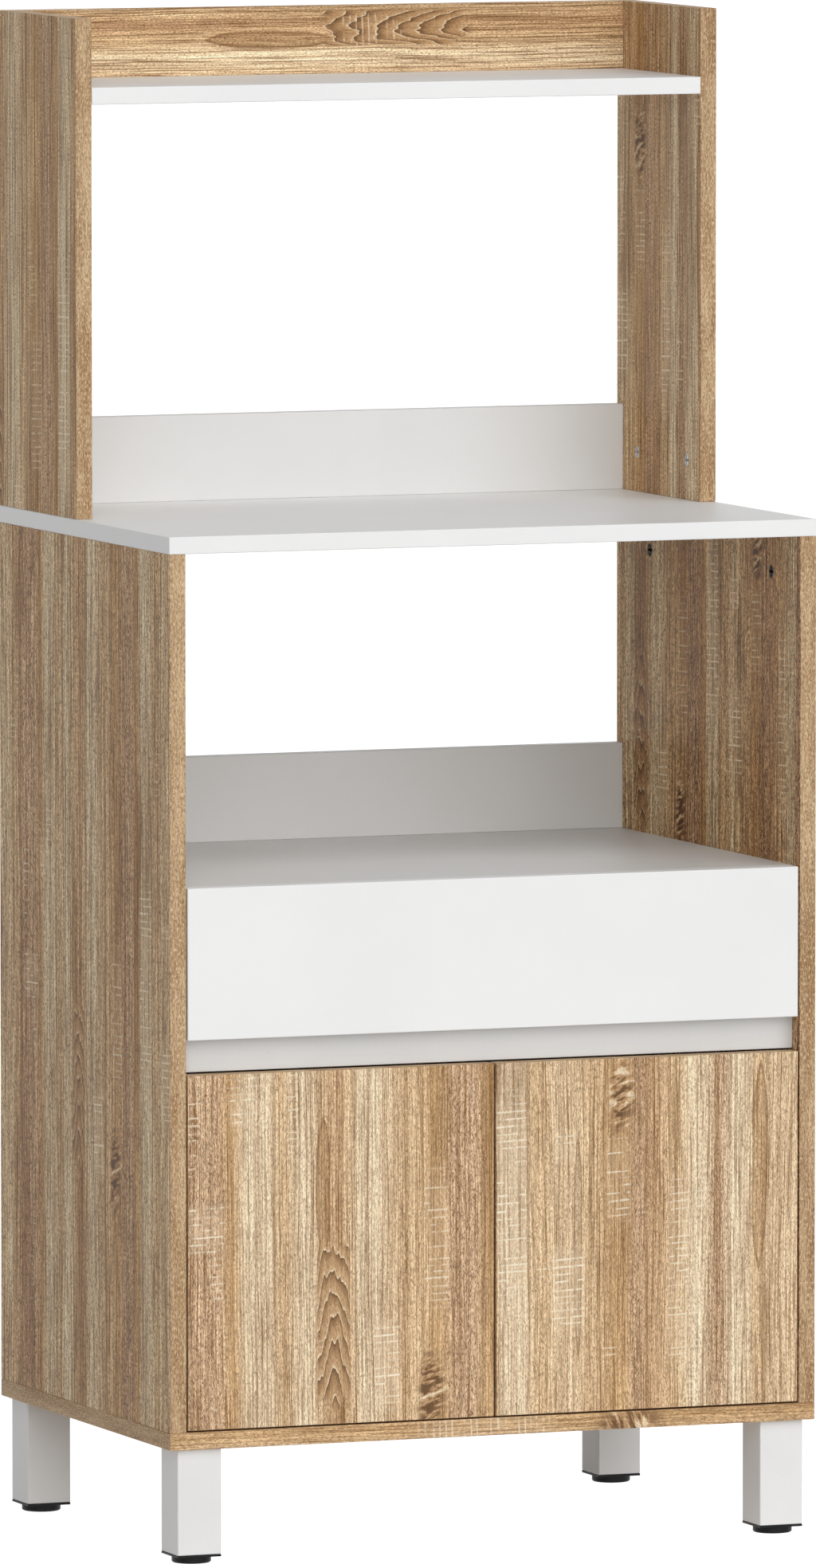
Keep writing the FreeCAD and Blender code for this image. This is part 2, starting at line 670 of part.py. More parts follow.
# Doors, set between the lower sides
for side, sign in sides.items():
    blanks[f"door_{side}"] = block(
        span(sign, "dims.meetGap / 2", frontReach), (front, frontBack), (doorUnder, doorTop))

# Door hinge about its pin, drawn for the left door: +X towards the door's free edge, +Y to the back
doorFace = "dims.board / 2"
cupX = "(dims.cupEdge + dims.cupRadius - dims.hingeEdge)"
cupFloor = f"({doorFace} - dims.cupDepth)"
cupOuter = "(dims.cupRadius - dims.cupPlay)"
wing = (doorFace, f"{doorFace} + dims.wingThick")
wingReach = "dims.wingWide / 2"
cupScrewSpots = [(cupX, f"{doorFace} + dims.wingThick", z) for z in both("dims.wingScrew")]
aheadTurn = FreeCAD.Rotation(up, ahead)
cup = carve(
    join([
        rod(cupOuter, "dims.cupDepth", (cupX, cupFloor, "0"), rear),
        rod("dims.cupRadius + dims.cupLip", "dims.wingThick", (cupX, doorFace, "0"), rear),
        block((f"{cupX} - {wingReach}", f"{cupX} + {wingReach}"), wing, both("dims.wingLong / 2")),
    ]),
    [
        rod(f"{cupOuter} - dims.cupWall", f"dims.cupDepth + dims.wingThick + {overshoot}",
            (cupX, f"{cupFloor} + dims.cupWall", "0"), rear),
        rod("dims.pinRadius + dims.turnPlay", "2 * dims.cupRadius", ("0", "0", "-dims.cupRadius"), up),
    ] + [copy_of(screwBore, spot, aheadTurn) for spot in cupScrewSpots],
)
cupSeat = rod("dims.cupRadius", f"dims.cupDepth + {overshoot}", (cupX, cupFloor, "0"), rear)
pinReach = "(dims.cupRadius - dims.pinShort)"
pin = rod("dims.pinRadius", f"2 * {pinReach}", ("0", "0", f"-{pinReach}"), up)
wallX = "(-dims.hingeEdge - dims.frontGap)"
plateTop = f"({wallX} + dims.plateThick)"
armTop = f"({plateTop} + dims.armBlock)"
armEnd = "(dims.armBack + dims.armLong)"
armHeight = both("dims.armHigh / 2")
bowFar = "dims.armBow + dims.armSheet / 2"
neck = doc.addObject("Part::Box", "neck")
neck.setExpression("Length", "dims.armBow * sqrt(2)")
neck.setExpression("Width", "dims.armSheet")
neck.setExpression("Height", "dims.armHigh")
place(
    neck, "dims.armSheet / 2 * sqrt(0.5)", "-dims.armSheet / 2 * sqrt(0.5)", "-dims.armHigh / 2",
    FreeCAD.Rotation(up, 45))
armScrewSpot = (armTop, "dims.armScrew + dims.armBack", "0")
leftTurn = FreeCAD.Rotation(up, left)
arm = carve(
    join([
        rod("dims.eyeRadius", "dims.armHigh", ("0", "0", "-dims.armHigh / 2"), up),
        neck,
        block(("dims.armBow - dims.armSheet / 2", bowFar),
              ("dims.armBow - dims.armSheet / 2", "dims.armBack + dims.armSheet"), armHeight),
        block((plateTop, bowFar), ("dims.armBack", "dims.armBack + dims.armSheet"), armHeight),
        block((plateTop, armTop), ("dims.armBack", armEnd), armHeight),
    ]),
    [
        rod("dims.pinRadius + dims.turnPlay", "2 * dims.armHigh", ("0", "0", "-dims.armHigh"), up),
        copy_of(screwBore, armScrewSpot, leftTurn),
    ],
)
plateMid = "(dims.armBack + dims.plateScrewBack)"
plateScrewSpots = [(plateTop, plateMid, z) for z in both("dims.plateScrew")]
plate = carve(
    join([
        block((wallX, plateTop), ("dims.armBack", armEnd), both("dims.plateHigh / 2")),
        block((wallX, plateTop),
              (f"{plateMid} - dims.plateWingLong / 2", f"{plateMid} + dims.plateWingLong / 2"),
              both("dims.plateWing / 2")),
    ]),
    [copy_of(screwBore, spot, leftTurn) for spot in plateScrewSpots + [armScrewSpot]],
)
hingeX = f"({frontReach} - dims.hingeEdge)"
hingeY = f"({front} + dims.board / 2)"
hingeInset = f"(({doorTop} - {doorUnder}) * dims.hingeShare)"
hingeHeights = (f"({doorUnder} + {hingeInset})", f"({doorTop} - {hingeInset})")
plates, hingeScrews = [], []
for side, sign in sides.items():
    door, wall = f"door_{side}", f"lower_side_{side}"
    outward = right if sign > 0 else left
    form = mirrored if sign > 0 else (lambda piece: piece)
    cupForm, armForm, plateForm = form(cup), form(arm), form(plate)
    seatForm = form(cupSeat)
    cups, pins, arms, cupScrews = [], [], [], []

    def hinge_spot(spot, height):
        x, y, z = spot
        return (signed(sign, f"{hingeX} - ({x})"), f"{hingeY} + {y}", f"{height} + ({z})")

    for height in hingeHeights:
        middle = hinge_spot(("0", "0", "0"), height)
        cups.append(copy_of(cupForm, middle))
        pins.append(copy_of(pin, middle))
        arms.append(copy_of(armForm, middle))
        plates.append(copy_of(plateForm, middle))
        cuts[door].append(copy_of(seatForm, middle))
        for spot in cupScrewSpots:
            fasten(cupScrews, hinge_spot(spot, height), ahead, [door])
        for spot in plateScrewSpots:
            fasten(hingeScrews, hinge_spot(spot, height), outward, [wall])
        fasten(hingeScrews, hinge_spot(armScrewSpot, height), outward, [])
    nodes[f"hinge_cups_{side}"] = group(cups)
    nodes[f"hinge_pins_{side}"] = group(pins)
    nodes[f"hinge_arms_{side}"] = group(arms)
    nodes[f"hinge_cup_screws_{side}"] = group(cupScrews)

for label, pieces in {
    "back_nails": nails,
    "cams_bright": camsBright,
    "cams_dark": camsDark,
    "cam_bolts": camBolts,
    "dowels": dowels,
    "leg_caps": legCaps,
    "leg_screws": legScrews,
    "drawer_cams": drawerCams,
    "drawer_bolts": drawerBolts,
    "drawer_back_screws": boxScrews,
    "slide_channel_screws": channelScrews,
    "slide_angle_screws": angleScrews,
    "hinge_plates": plates,
    "hinge_screws": hingeScrews,
}.items():
    nodes[label] = group(pieces)
for label, blank in blanks.items():
    nodes[label] = carve(blank, cuts[label])
for label, piece in nodes.items():
    piece.Label = label
doc.recompute()

failed = [piece.Label for piece in doc.Objects if {"Invalid", "Error"} & set(piece.State)]
if failed:
    raise RuntimeError(f"failed to build: {failed}")
shapes = {label: Part.getShape(piece) for label, piece in nodes.items()}
for label, shape in shapes.items():
    if shape.isNull() or not shape.isValid() or not shape.Solids:
        raise RuntimeError(f"bad shape: {label}")
os.makedirs("parts", exist_ok=True)
for label, shape in sorted(shapes.items()):
    shape.exportStep(f"parts/{label}.step")
    print(f"{label}: {len(shape.Solids)} solids, {shape.Volume / 1000:.1f} cm3")
print(len(shapes), "nodes")
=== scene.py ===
import json
from math import radians

import bmesh
import bpy
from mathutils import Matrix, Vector


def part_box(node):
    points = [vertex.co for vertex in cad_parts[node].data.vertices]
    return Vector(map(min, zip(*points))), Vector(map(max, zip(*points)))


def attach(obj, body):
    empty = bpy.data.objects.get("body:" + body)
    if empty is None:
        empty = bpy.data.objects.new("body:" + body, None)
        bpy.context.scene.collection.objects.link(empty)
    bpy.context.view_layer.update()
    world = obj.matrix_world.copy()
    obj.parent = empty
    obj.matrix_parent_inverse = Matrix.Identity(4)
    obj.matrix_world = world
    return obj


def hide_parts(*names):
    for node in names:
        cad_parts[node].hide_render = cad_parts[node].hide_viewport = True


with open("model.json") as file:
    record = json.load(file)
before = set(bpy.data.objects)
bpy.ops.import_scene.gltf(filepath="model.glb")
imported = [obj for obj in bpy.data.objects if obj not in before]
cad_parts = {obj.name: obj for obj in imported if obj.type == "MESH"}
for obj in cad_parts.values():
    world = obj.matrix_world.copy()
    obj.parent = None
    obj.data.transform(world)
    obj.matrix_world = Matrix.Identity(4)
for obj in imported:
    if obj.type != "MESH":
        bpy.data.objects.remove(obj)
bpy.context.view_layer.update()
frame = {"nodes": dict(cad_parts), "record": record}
cad = frame["nodes"]
record = frame["record"]
bodyOf = {node: body for body, members in record["behaviour"]["bodies"].items() for node in members}
slotOf = {part["node"]: part["material_slot"] for part in record["subparts"]}
scene = bpy.context.scene
scene.view_settings.view_transform = "Standard"

# Helpers for node trees


def tone(code):
    # linear colour of a six digit sRGB code
    parts = [int(code[i:i + 2], 16) / 255 for i in (0, 2, 4)]
    linear = [p / 12.92 if p <= 0.04045 else ((p + 0.055) / 1.055) ** 2.4 for p in parts]
    return (*linear, 1.0)


def feed(tree, socket, value):
    if isinstance(value, bpy.types.NodeSocket):
        tree.links.new(value, socket)
    else:
        socket.default_value = value


def calc(tree, operation, *values):
    node = tree.nodes.new("ShaderNodeMath")
    node.operation = operation
    for socket, value in zip(node.inputs, values):
        feed(tree, socket, value)
    return node.outputs[0]


def plus(tree, first, second):
    return calc(tree, "ADD", first, second)


def minus(tree, first, second):
    return calc(tree, "SUBTRACT", first, second)


def times(tree, first, second):
    return calc(tree, "MULTIPLY", first, second)


def scaled(tree, value, factor, shift=0.0):
    return calc(tree, "MULTIPLY_ADD", value, factor, shift)


def swing(tree, value, size):
    # noise about its middle, as a plus or minus amount
    return times(tree, minus(tree, value, 0.5), size)


def fade(tree, value, low, high):
    # smooth step from 0 at the first value to 1 at the second
    node = tree.nodes.new("ShaderNodeMapRange")
    node.interpolation_type = "SMOOTHSTEP"
    for socket, amount in zip(node.inputs, (value, low, high, 0.0, 1.0)):
        feed(tree, socket, amount)
    return node.outputs[0]


def blend(tree, factor, first, second, mode="MIX"):
    node = tree.nodes.new("ShaderNodeMix")
    node.data_type = "RGBA"
    node.blend_type = mode
    for index, value in ((0, factor), (6, first), (7, second)):     # the sockets of its colour mode
        feed(tree, node.inputs[index], value)
    return node.outputs[2]


def ramp(tree, value, stops):
    node = tree.nodes.new("ShaderNodeValToRGB")
    elements = node.color_ramp.elements
    while len(elements) < len(stops):
        elements.new(1.0)
    for element, (place, colour) in zip(elements, stops):
        element.position = place
        element.color = colour
    feed(tree, node.inputs[0], value)
    return node.outputs


def toned(stops):
    return [(place, tone(code)) for place, code in stops]


def noise(tree, x, y, z, detail=2.0, rough=0.5):
    point = tree.nodes.new("ShaderNodeCombineXYZ")
    for socket, value in zip(point.inputs, (x, y, z)):
        feed(tree, socket, value)
    node = tree.nodes.new("ShaderNodeTexNoise")
    for label, value in (("Vector", point.outputs[0]), ("Scale", 1.0), ("Detail", detail), ("Roughness", rough)):
        feed(tree, node.inputs[label], value)
    return node.outputs[0]


def newGroup(name, inputs, outputs):
    tree = bpy.data.node_groups.new(name, "ShaderNodeTree")
    for label, kind, usual in inputs:
        socket = tree.interface.new_socket(name=label, in_out="INPUT", socket_type=f"NodeSocket{kind}")
        if usual is not None:
            socket.default_value = usual
    for label, kind in outputs:
        tree.interface.new_socket(name=label, in_out="OUTPUT", socket_type=f"NodeSocket{kind}")
    return tree, tree.nodes.new("NodeGroupInput").outputs, tree.nodes.new("NodeGroupOutput").inputs


def useGroup(tree, group, **values):
    node = tree.nodes.new("ShaderNodeGroup")
    node.node_tree = group
    for label, value in values.items():
        feed(tree, node.inputs[label], value)
    return node.outputs


# Camera, stage and light

view = {
    "place": (-5.4079, -13.6747, 1.9317),
    "turn": 21.5854,            # degrees to the right of straight ahead
    "tilt": 4.9895,             # degrees down
    "lens": 388.21,
    "sensor": 36.0,
    "clipEnd": 200.0,
}
cameraData = bpy.data.cameras.new("camera")
cameraData.sensor_width = view["sensor"]
cameraData.lens = view["lens"]
cameraData.clip_end = view["clipEnd"]
camera = bpy.data.objects.new("camera", cameraData)
camera.location = view["place"]
camera.rotation_euler = (radians(90 - view["tilt"]), 0, radians(-view["turn"]))
scene.collection.objects.link(camera)
scene.camera = camera


def seenRay(tree):
    # 1 for what the camera, a mirror or a pane looks at, 0 for the light that falls on the cabinet
    path = tree.nodes.new("ShaderNodeLightPath").outputs
    seen = calc(tree, "MAXIMUM", path["Is Camera Ray"], path["Is Glossy Ray"])
    return calc(tree, "MAXIMUM", seen, path["Is Transmission Ray"])


studio = {
    "white": (1, 1, 1, 1),
    "ambient": 0.22,
    "suns": {                   # strength, where it comes from, degrees of spread
        "softSun": (2.45, (0.06, -0.90, 0.38), 80.0),
        "leftFill": (0.10, (-1.00, -0.25, 0.22), 90.0),
    },
    "floorReach": 80.0,
    "floorTone": "F3F3F3",      # what throws light back on the cabinet
    "floorSeen": "AAAAAA",      # what the camera sees, before the lift
    "floorLift": 0.97,          # glow that brings the seen floor to white
}
world = bpy.data.worlds.new("studio")
world.use_nodes = True
scene.world = world
worldTree = world.node_tree
backdrop = worldTree.nodes["Background"]
backdrop.inputs["Color"].default_value = studio["white"]
feed(worldTree, backdrop.inputs["Strength"],
     scaled(worldTree, seenRay(worldTree), 1 - studio["ambient"], studio["ambient"]))

for name, (strength, source, spread) in studio["suns"].items():
    sunData = bpy.data.lights.new(name, "SUN")
    sunData.energy = strength
    sunData.angle = radians(spread)
    sun = bpy.data.objects.new(name, sunData)
    sun.rotation_euler = Vector(source).to_track_quat("Z", "Y").to_euler()
    scene.collection.objects.link(sun)

floorMesh = bpy.data.meshes.new("floor")
reach = studio["floorReach"]
floorMesh.from_pydata(
    [(-reach, -reach, 0), (reach, -reach, 0), (reach, reach, 0), (-reach, reach, 0)], [], [(0, 1, 2, 3)])
floor = bpy.data.objects.new("floor", floorMesh)
scene.collection.objects.link(floor)
floorPaint = bpy.data.materials.new("floorPaint")
floorPaint.use_nodes = True
floorTree = floorPaint.node_tree
floorShader = floorTree.nodes["Principled BSDF"]
floorRay = seenRay(floorTree)
floorColour = blend(floorTree, floorRay, tone(studio["floorTone"]), tone(studio["floorSeen"]))
for label, value in (
        ("Roughness", 1.0), ("Specular IOR Level", 0.0), ("Emission Color", studio["white"]),
        ("Emission Strength", times(floorTree, floorRay, studio["floorLift"])), ("Base Color", floorColour)):
    feed(floorTree, floorShader.inputs[label], value)
floorMesh.materials.append(floorPaint)
print("camera, floor and light set")

# Oak fibres: short dark and pale flecks, drawn out along the grain

fibres = {
    "sway": (40.0, 16.0),                   # turns in a metre across and along
    "swaySize": 0.007,
    "layers": [(1400.0, 420.0, 0.9), (900.0, 60.0, 0.45)],      # turns in a metre across and along, strength
    "seedStep": 5.0,
    "detail": 2.5,
    "rough": 0.7,
    "dark": (0.48, 0.38),                   # noise between which a dark fleck fades in
    "pale": (0.53, 0.64),
}
fibreTree, fibreIn, fibreOut = newGroup(
    "oakFibre",
    [("Across", "Float", 0.0), ("Along", "Float", 0.0), ("Seed", "Float", 0.0)],
    [("Dark", "Float"), ("Pale", "Float"), ("Height", "Float")],
)
swayWide, swayLong = fibres["sway"]
sway = noise(
    fibreTree, scaled(fibreTree, fibreIn["Across"], swayWide), fibreIn["Seed"],
    scaled(fibreTree, fibreIn["Along"], swayLong))
swayed = plus(fibreTree, fibreIn["Across"], swing(fibreTree, sway, fibres["swaySize"]))
darks, pales = [], []
for wide, long, share in fibres["layers"]:
    fibre = noise(
        fibreTree, scaled(fibreTree, swayed, wide), scaled(fibreTree, fibreIn["Seed"], fibres["seedStep"], wide),
        scaled(fibreTree, fibreIn["Along"], long), fibres["detail"], fibres["rough"])
    darks.append(scaled(fibreTree, fade(fibreTree, fibre, *fibres["dark"]), share))
    pales.append(scaled(fibreTree, fade(fibreTree, fibre, *fibres["pale"]), share))
feed(fibreTree, fibreOut["Dark"], calc(fibreTree, "MAXIMUM", *darks))
feed(fibreTree, fibreOut["Pale"], calc(fibreTree, "MAXIMUM", *pales))
feed(fibreTree, fibreOut["Height"], fibre)

# Sawn oak decor: u runs across the strips of the print and v along them, in metres from near its flame figure

oak = {
    "depthShare": 0.6,                      # depth counted as width, for the edges of a board
    "wander": [(6.0, 2.2, 0.012), (60.0, 8.0, 0.003)],          # turns in a metre across and along, and how far
    "repeat": (0.600, 0.950),               # the print starts again across and along
    "streaks": [                            # turns in a metre, where dark, where pale, how dark, how pale
        (28.0, 3.5, (0.48, 0.25), (0.52, 0.75), 0.30, 0.30),
        (240.0, 1.5, (0.48, 0.32), (0.54, 0.72), 0.36, 0.288),
        (620.0, 5.0, (0.48, 0.32), (0.54, 0.72), 0.44, 0.352),
        (1150.0, 12.0, (0.48, 0.32), (0.54, 0.72), 0.80, 0.64),
    ],
    "streak": "80582C",
    "pore": "5E3D1E",
    "lift": "9DA5AC",                       # how far pale fibres brighten what they lie on
    "figure": toned([(0.00, "ECD8B8"), (0.14, "C9A67E"), (0.55, "B7936C"), (0.85, "8E6C4A"), (1.00, "664A32")]),
    "darkFlecks": 0.76,
    "paleFlecks": 1.10,
    "roughness": (0.16, 0.44),              # its change with the fibres' height, and its least
    "specular": 0.14,
    "depth": 0.0002,
    "strength": 0.25,
}
oakTree, oakIn, oakOut = newGroup(
    "oakDecor",
    [("Vector", "Vector", None), ("Across", "Float", 0.0), ("Along", "Float", 0.0), ("Seed", "Float", 0.0),
     ("Shade", "Float", 0.0), ("Fibre", "Float", 1.0)],
    [("Color", "Color"), ("Roughness", "Float"), ("Height", "Float")],
)
split = oakTree.nodes.new("ShaderNodeSeparateXYZ")
feed(oakTree, split.inputs[0], oakIn["Vector"])
across = plus(oakTree, split.outputs[0], scaled(oakTree, split.outputs[1], oak["depthShare"]))
along = plus(oakTree, split.outputs[2], oakIn["Along"])
seed = oakIn["Seed"]


def oakNoise(start, wide, long, detail=2.0, shift=0.0):
    # noise drawn out along the grain: so many turns in a metre across and along
    return noise(oakTree, scaled(oakTree, start, wide, shift), seed, scaled(oakTree, along, long), detail)


line = plus(oakTree, across, oakIn["Across"])
for wide, long, size in oak["wander"]:
    line = plus(oakTree, line, swing(oakTree, oakNoise(line, wide, long), size))

strips = {
    "tones": {                              # colour, and how far the fibres stand out
        "cream": ("EDD5B3", 0.80),
        "pale": ("E6C9A4", 0.85),
        "tan": ("DEBE96", 0.90),
        "gold": ("D1AC7F", 0.85),
        "brown": ("CDAA84", 0.95),
        "pepper": ("CEAD8B", 1.20),
    },
    "left": [                               # where each strip starts
        (-0.150, "pepper"), (-0.101, "gold"), (-0.089, "cream"), (-0.056, "tan"), (-0.040, "cream"),
        (-0.016, "tan"), (-0.004, "brown"), (0.010, "tan"), (0.016, "cream"), (0.046, "pale"),
        (0.058, "tan"), (0.085, "gold"), (0.103, "pepper"), (0.136, "gold"),
    ],
    "right": [
        (0.149, "cream"), (0.178, "tan"), (0.199, "pale"), (0.227, "tan"), (0.250, "gold"),
        (0.275, "pepper"), (0.285, "brown"), (0.307, "tan"), (0.327, "cream"), (0.349, "pepper"),
        (0.365, "cream"), (0.391, "tan"), (0.399, "pale"), (0.418, "pale"), (0.432, "tan"),
    ],
    "soft": 0.0070,                         # how far into a strip its edge fades
    "softShare": 0.42,                      # at most so much of a slim one
    "fray": (600.0, 70.0),
    "fraySize": 0.006,
}


def wrapped(value, start, every):
    turn = calc(oakTree, "FLOORED_MODULO", minus(oakTree, value, start), every)
    return plus(oakTree, turn, start)


repeatWide, repeatLong = oak["repeat"]
stripStart = strips["left"][0][0]
stripMiddle = strips["right"][0][0]
u = wrapped(line, stripStart, repeatWide)
v = wrapped(along, -repeatLong / 2, repeatLong)
frayed = plus(oakTree, u, swing(oakTree, oakNoise(line, *strips["fray"]), strips["fraySize"]))


def stripRamp(row, end):
    # soft edged strips, the strength of their fibres in the ramp's alpha
    start = row[0][0]
    stops = []
    for (low, name), high in zip(row, [place for place, _ in row[1:]] + [end]):
        code, strength = strips["tones"][name]
        soft = min(strips["soft"], strips["softShare"] * (high - low))
        for place in (low + soft, high - soft):
            stops.append(((place - start) / (end - start), (*tone(code)[:3], strength)))
    return ramp(oakTree, scaled(oakTree, frayed, 1 / (end - start), -start / (end - start)), stops)


leftRamp = stripRamp(strips["left"], stripMiddle)
rightRamp = stripRamp(strips["right"], stripStart + repeatWide)
onRight = calc(oakTree, "GREATER_THAN", u, stripMiddle)
colour = blend(oakTree, onRight, leftRamp["Color"], rightRamp["Color"])
rugged = plus(
    oakTree, times(oakTree, leftRamp["Alpha"], minus(oakTree, 1.0, onRight)),
    times(oakTree, rightRamp["Alpha"], onRight))
rugged = times(oakTree, rugged, oakIn["Fibre"])


def tint(under, mask, amount, paint):
    # lays a colour over the print where the mask is 1
    return blend(oakTree, scaled(oakTree, mask, amount), under, paint)


def lifted(under, mask, amount):
    # brightens the print where the mask is 1, each strip in its own colour
    return blend(oakTree, scaled(oakTree, mask, amount), under, tone(oak["lift"]), "DODGE")


def calmed(mask, share):
    # weaker fibres where the mask is 1
    return times(oakTree, rugged, scaled(oakTree, mask, -share, 1.0))


for wide, long, dark, pale, darkness, paleness in oak["streaks"]:
    threads = oakNoise(line, wide, long)
    darkness = scaled(oakTree, oakIn["Fibre"], darkness)
    paleness = scaled(oakTree, oakIn["Fibre"], paleness)
    colour = tint(colour, fade(oakTree, threads, *dark), darkness, tone(oak["streak"]))
    colour = lifted(colour, fade(oakTree, threads, *pale), paleness)


def away(spot):
    # distance from a spot's middle, in its half widths and half lengths
    middleU, middleV, halfU, halfV = spot
    x = calc(oakTree, "DIVIDE", minus(oakTree, u, middleU), halfU)
    y = calc(oakTree, "DIVIDE", minus(oakTree, v, middleV), halfV)
    return calc(oakTree, "ABSOLUTE", x), calc(oakTree, "ABSOLUTE", y)


# slim tongues with a darker rim
tongues = {
    "spots": [                              # u, v, half width, half length, colour
        (-0.0105, 0.066, 0.0062, 0.060, "9F7A50"),
        (0.224, 0.005, 0.0034, 0.095, "93765A"),
        (0.397, 0.070, 0.0060, 0.090, "A67F56"),
    ],
    "blunt": 4.0,                           # the power that rounds the ends
    "inside": (1.05, 0.85),
    "fill": 0.46,
    "rimOutside": (1.25, 1.05),
    "rimInside": (0.70, 0.98),
    "rim": 0.62,
}
for *spot, code in tongues["spots"]:
    x, y = away(spot)
    spindle = plus(oakTree, x, calc(oakTree, "POWER", y, tongues["blunt"]))
    colour = tint(colour, fade(oakTree, spindle, *tongues["inside"]), tongues["fill"], tone(code))
    rim = times(
        oakTree, fade(oakTree, spindle, *tongues["rimOutside"]), fade(oakTree, spindle, *tongues["rimInside"]))
    colour = tint(colour, rim, tongues["rim"], tone(oak["streak"]))

# flame figure: jagged contour lines inside one strip
flame = {
    "spot": (-0.002, -0.052, 0.015, 0.072),
    "jags": (95.0, 11.0, 2.5),              # turns in a metre across and along, detail
    "lines": 44.0,                          # in a metre
    "bow": 1.4,                             # how many lines one bends by at its ends
    "jagged": 2.6,
    "sides": (1.10, 0.92),
    "ends": (1.05, 0.85),
    "endJags": 0.8,
    "strength": 0.92,
    "calm": 0.25,
}
jags = oakNoise(line, *flame["jags"])
x, y = away(flame["spot"])
bow = scaled(oakTree, calc(oakTree, "POWER", x, 2.0), flame["bow"])
arches = plus(oakTree, scaled(oakTree, v, flame["lines"]), bow)
rings = calc(oakTree, "FRACT", plus(oakTree, arches, scaled(oakTree, jags, flame["jagged"])))
ends = plus(oakTree, y, swing(oakTree, jags, flame["endJags"]))
inFlame = times(oakTree, fade(oakTree, x, *flame["sides"]), fade(oakTree, ends, *flame["ends"]))
colour = tint(colour, inFlame, flame["strength"], ramp(oakTree, rings, oak["figure"])["Color"])
rugged = calmed(inFlame, flame["calm"])

# knots: dark ovals crossed by slanting cuts
knots = {
    "spots": [(0.088, -0.113, 0.013, 0.036), (0.263, 0.137, 0.013, 0.036)],
    "cuts": (70.0, 190.0),                  # turns in a metre across and along
    "slant": 60.0,
    "detail": 3.0,
    "rough": 0.6,
    "cutEdge": (0.62, 0.42),
    "jagged": 1.2,
    "edge": (1.25, 0.45),
    "strength": 0.95,
    "calm": 0.50,
}
cutsWide, cutsLong = knots["cuts"]
cuts = noise(
    oakTree, scaled(oakTree, line, cutsWide), seed,
    minus(oakTree, scaled(oakTree, along, cutsLong), scaled(oakTree, line, knots["slant"])),
    knots["detail"], knots["rough"])
knotPaint = ramp(oakTree, fade(oakTree, cuts, *knots["cutEdge"]), oak["figure"])["Color"]
for spot in knots["spots"]:
    x, y = away(spot)
    squares = plus(oakTree, calc(oakTree, "POWER", x, 2.0), calc(oakTree, "POWER", y, 2.0))
    oval = plus(oakTree, calc(oakTree, "SQRT", squares), swing(oakTree, jags, knots["jagged"]))
    knot = fade(oakTree, oval, *knots["edge"])
    colour = tint(colour, knot, knots["strength"], knotPaint)
    rugged = calmed(knot, knots["calm"])

# a higher Fibre makes the flecks wider as well as stronger
grain = useGroup(oakTree, fibreTree, Across=calc(oakTree, "DIVIDE", line, oakIn["Fibre"]), Along=along, Seed=seed)
colour = tint(colour, times(oakTree, grain["Dark"], rugged), oak["darkFlecks"], tone(oak["pore"]))
colour = lifted(colour, times(oakTree, grain["Pale"], rugged), oak["paleFlecks"])

# short pale saw marks in ladders
saw = {
    "ladders": [                            # u, v, half width, half length, strength
        (-0.088, 0.138, 0.009, 0.016, 0.8), (-0.119, 0.036, 0.017, 0.022, 0.9),
        (0.094, 0.018, 0.012, 0.064, 0.6), (0.048, -0.086, 0.012, 0.040, 1.0),
        (0.163, 0.048, 0.014, 0.095, 1.0), (0.212, 0.092, 0.010, 0.016, 0.8),
        (0.262, 0.062, 0.011, 0.039, 0.7), (0.215, -0.032, 0.016, 0.039, 1.0),
        (0.320, -0.020, 0.010, 0.087, 0.8),
    ],
    "sides": (1.10, 0.85),
    "ends": (1.20, 0.60),
    "rungs": 165.0,                         # in a metre
    "slant": -7.0,
    "waver": (4.0, 45.0, 1.0),              # turns in a metre across and along, detail
    "waverSize": 1.4,
    "rungEdge": (0.17, 0.06),
    "breaks": (75.0, 3.7),                  # turns in a metre across, step from rung to rung
    "breakEdge": (0.38, 0.52),
    "gaps": (7.31, 0.4),                    # step from rung to rung, a fixed second place
    "gapEdge": (0.28, 0.50),                # rungs below it are left out
    "ragged": (400.0, 400.0, 1.0),
    "raggedEdge": (0.28, 0.48),
    "stray": (40.0, 9.0, 1.0, 17.0),        # a few marks outside the ladders
    "strayEdge": (0.64, 0.72),
    "strayShare": 0.6,
    "haze": 0.20,
    "hazeTone": "F7E0C0",
    "markTone": "F6E9D1",
    "height": 0.4,
}
ladders = 0.0
for *spot, strength in saw["ladders"]:
    x, y = away(spot)
    inside = times(oakTree, fade(oakTree, x, *saw["sides"]), fade(oakTree, y, *saw["ends"]))
    ladders = calc(oakTree, "MAXIMUM", scaled(oakTree, inside, strength), ladders)
slanted = plus(oakTree, scaled(oakTree, along, saw["rungs"]), scaled(oakTree, line, saw["slant"]))
slanted = plus(oakTree, slanted, swing(oakTree, oakNoise(line, *saw["waver"]), saw["waverSize"]))
rung = calc(oakTree, "ABSOLUTE", minus(oakTree, calc(oakTree, "FRACT", slanted), 0.5))
rungNumber = calc(oakTree, "FLOOR", slanted)
breakWide, breakStep = saw["breaks"]
broken = noise(oakTree, scaled(oakTree, line, breakWide), scaled(oakTree, rungNumber, breakStep), seed)
gapStep, gapPlace = saw["gaps"]
kept = noise(oakTree, scaled(oakTree, rungNumber, gapStep), gapPlace, seed, detail=0.0)
stray = fade(oakTree, oakNoise(line, *saw["stray"]), *saw["strayEdge"])
marks = fade(oakTree, rung, *saw["rungEdge"])
for part in (
        fade(oakTree, broken, *saw["breakEdge"]),
        fade(oakTree, oakNoise(line, *saw["ragged"]), *saw["raggedEdge"]),
        fade(oakTree, kept, *saw["gapEdge"]),
        calc(oakTree, "MAXIMUM", ladders, scaled(oakTree, stray, saw["strayShare"]))):
    marks = times(oakTree, marks, part)
colour = tint(colour, ladders, saw["haze"], tone(saw["hazeTone"]))
colour = blend(oakTree, marks, colour, tone(saw["markTone"]))

